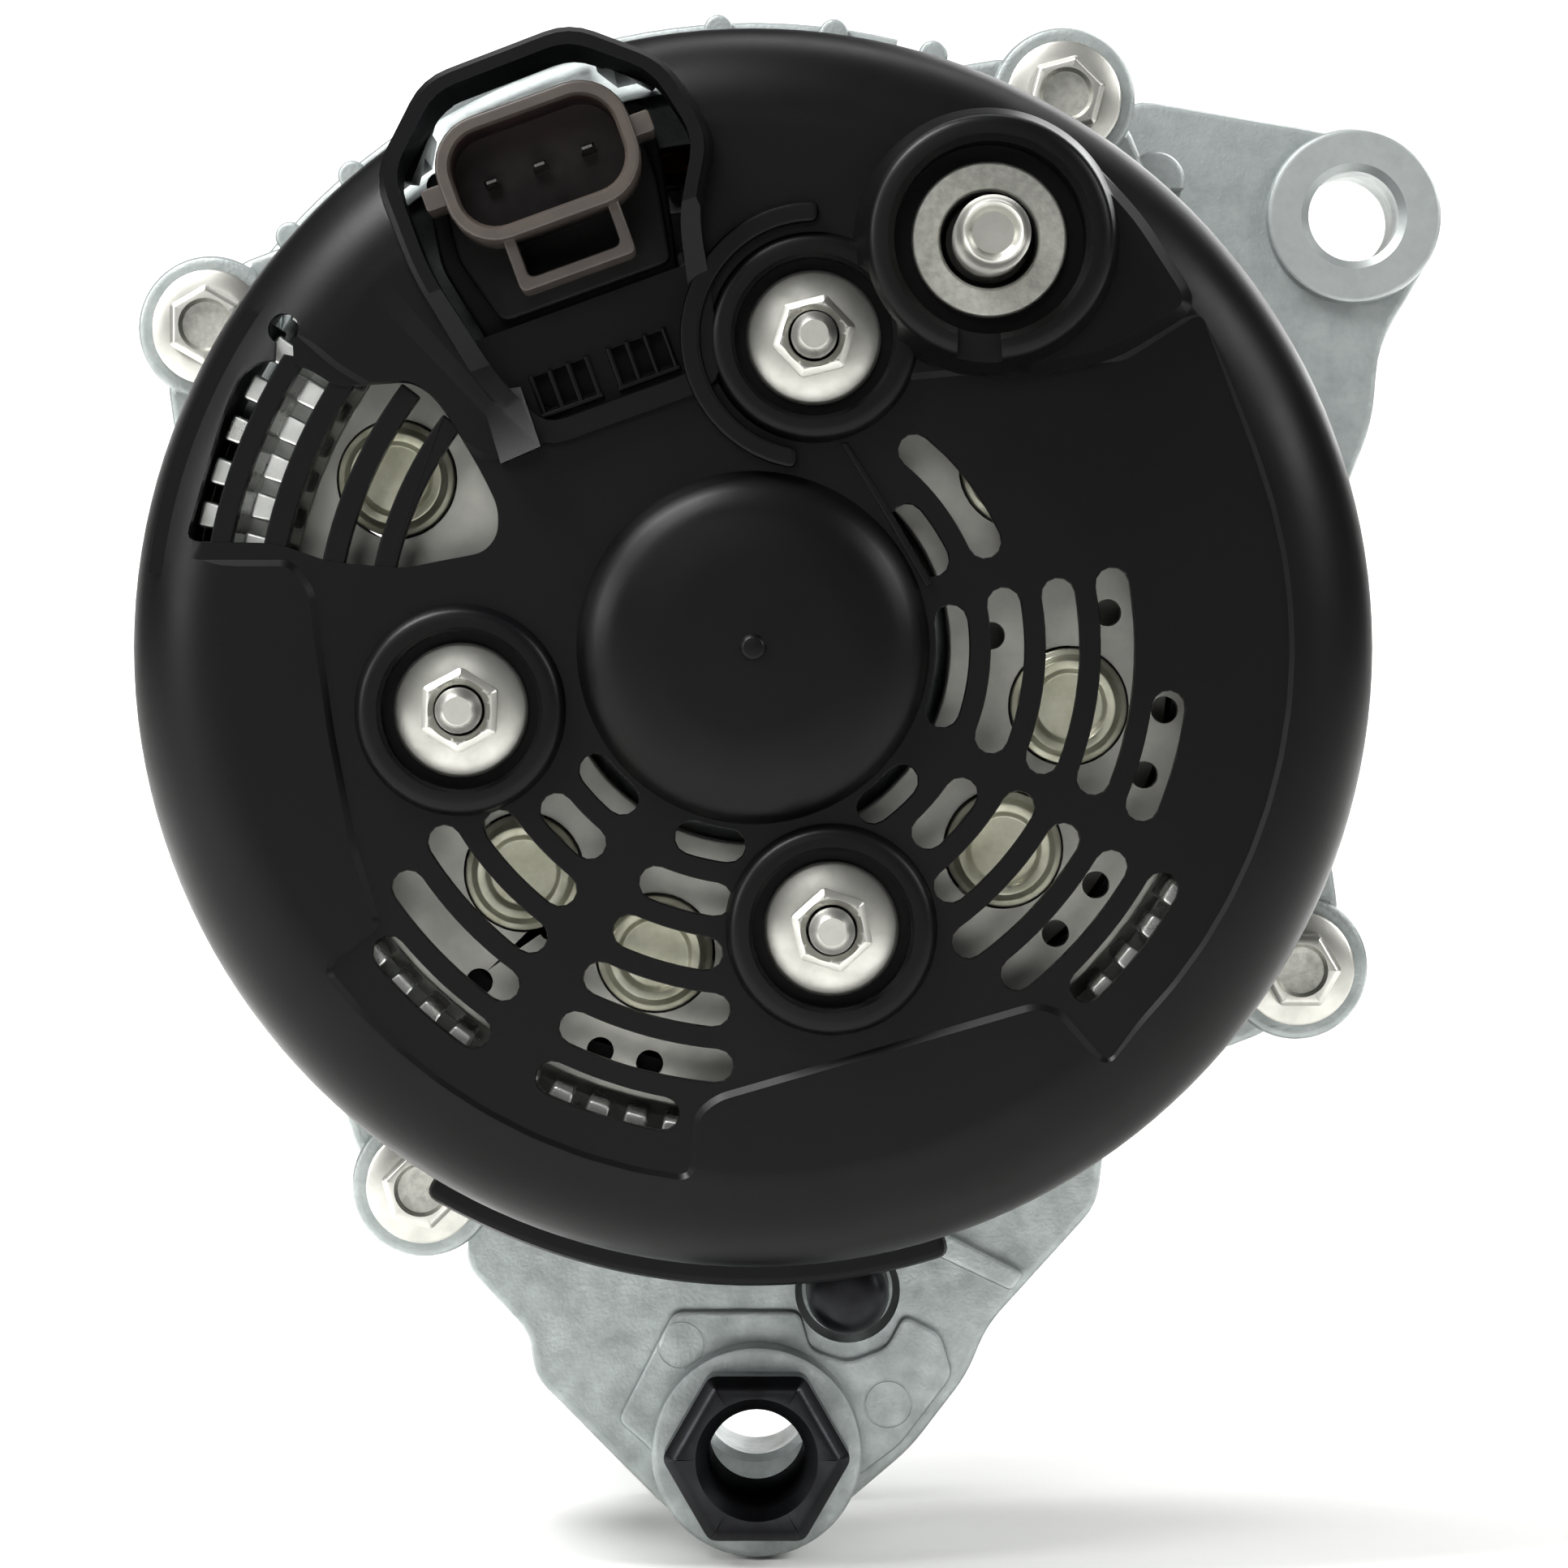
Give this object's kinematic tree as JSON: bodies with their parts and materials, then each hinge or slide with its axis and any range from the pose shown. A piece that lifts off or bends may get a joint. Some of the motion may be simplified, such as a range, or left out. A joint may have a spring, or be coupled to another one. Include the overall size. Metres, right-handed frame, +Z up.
{
  "type": "car alternator",
  "caption": "Alternator with cast end frames on a laminated stator, ribbed pulley, mounting ears and a slotted black rear cover with output stud and connector.",
  "frame": {"origin": "centre of the rotor shaft's front end face", "axes": "+Y along the shaft towards the pulley end, +Z up as bolted to the engine with the pivot lugs below, +X to the right seen from the rear cover"},
  "size_m": [0.154, 0.1795, 0.1763],
  "materials": {
    "cast_aluminium": "as die cast, light grey",
    "black_nylon": "moulded, satin black",
    "zinc_steel": "zinc plated",
    "black_steel": "black oxide",
    "bearing_steel": "ground",
    "core_steel": "dark varnished steel",
    "copper": "enamelled copper",
    "sheet_aluminium": "rolled sheet",
    "grey_plastic": "moulded, grey brown",
    "carbon": "pressed carbon"
  },
  "bodies": {
    "housing": {"front_frame": "cast_aluminium", "rear_frame": "cast_aluminium", "pivot_bush": "black_steel", "stator_core": "core_steel", "stator_winding": "copper", "bearing_retainer": "zinc_steel", "negative_heat_sink": "sheet_aluminium", "positive_heat_sink": "sheet_aluminium", "negative_diodes": "zinc_steel", "terminal_block": "black_nylon", "b_plus_stud": "zinc_steel", "b_plus_washer": "zinc_steel", "regulator": "black_nylon", "connector_socket": "grey_plastic", "brush_holder": "black_nylon", "brush_spring_1": "zinc_steel", "brush_spring_2": "zinc_steel", "rear_cover": "black_nylon", "front_bearing_outer_ring": "bearing_steel", "rear_bearing_outer_ring": "bearing_steel", "through_bolt_1": "zinc_steel", "through_bolt_2": "zinc_steel", "through_bolt_3": "zinc_steel", "through_bolt_4": "zinc_steel", "retainer_screw_1": "zinc_steel", "connector_pin_1": "zinc_steel", "cover_stud_1": "zinc_steel", "cover_nut_1": "zinc_steel", "retainer_screw_2": "zinc_steel", "connector_pin_2": "zinc_steel", "cover_stud_2": "zinc_steel", "cover_nut_2": "zinc_steel", "retainer_screw_3": "zinc_steel", "connector_pin_3": "zinc_steel", "cover_stud_3": "zinc_steel", "cover_nut_3": "zinc_steel", "positive_diode_1": "zinc_steel", "positive_diode_2": "zinc_steel", "positive_diode_3": "zinc_steel", "positive_diode_4": "zinc_steel", "positive_diode_5": "zinc_steel", "positive_diode_6": "zinc_steel"},
    "rotor": {"rotor_shaft": "bearing_steel", "front_pole": "core_steel", "rear_pole": "core_steel", "field_coil": "copper", "front_fan": "zinc_steel", "rear_fan": "zinc_steel", "slip_ring_1": "copper", "slip_ring_2": "copper", "pulley": "black_steel", "pulley_nut": "zinc_steel", "shaft_collar": "zinc_steel", "front_bearing_inner_ring": "bearing_steel", "rear_bearing_inner_ring": "bearing_steel"},
    "front_ball_cage": {"front_bearing_ball_cage": "bearing_steel"},
    "rear_ball_cage": {"rear_bearing_ball_cage": "bearing_steel"},
    "brush_a": {"brush_1": "carbon"},
    "brush_b": {"brush_2": "carbon"}
  },
  "joints": [
    {"name": "rotor_spin", "type": "hinge", "parent": "housing", "child": "rotor", "pos_m": [0, 0, 0], "axis": [0, 1, 0], "continuous": true},
    {"name": "front_cage_spin", "type": "hinge", "parent": "housing", "child": "front_ball_cage", "pos_m": [0, -0.048, 0], "axis": [0, 1, 0], "continuous": true},
    {"name": "rear_cage_spin", "type": "hinge", "parent": "housing", "child": "rear_ball_cage", "pos_m": [0, -0.1315, 0], "axis": [0, 1, 0], "continuous": true},
    {"name": "brush_1_slide", "type": "slide", "parent": "housing", "child": "brush_a", "axis": [-0.342, 0, 0.9397], "range_m": [0, 0.004], "stiffness_N_per_m": 300, "springref_m": -0.004, "deforming": ["brush_spring_1"]},
    {"name": "brush_2_slide", "type": "slide", "parent": "housing", "child": "brush_b", "axis": [-0.342, 0, 0.9397], "range_m": [0, 0.004], "stiffness_N_per_m": 300, "springref_m": -0.004, "deforming": ["brush_spring_2"]}
  ],
  "couplings": [
    {"joint": "front_cage_spin", "follows": "rotor_spin", "ratio": 0.4},
    {"joint": "rear_cage_spin", "follows": "rotor_spin", "ratio": 0.4134}
  ]
}
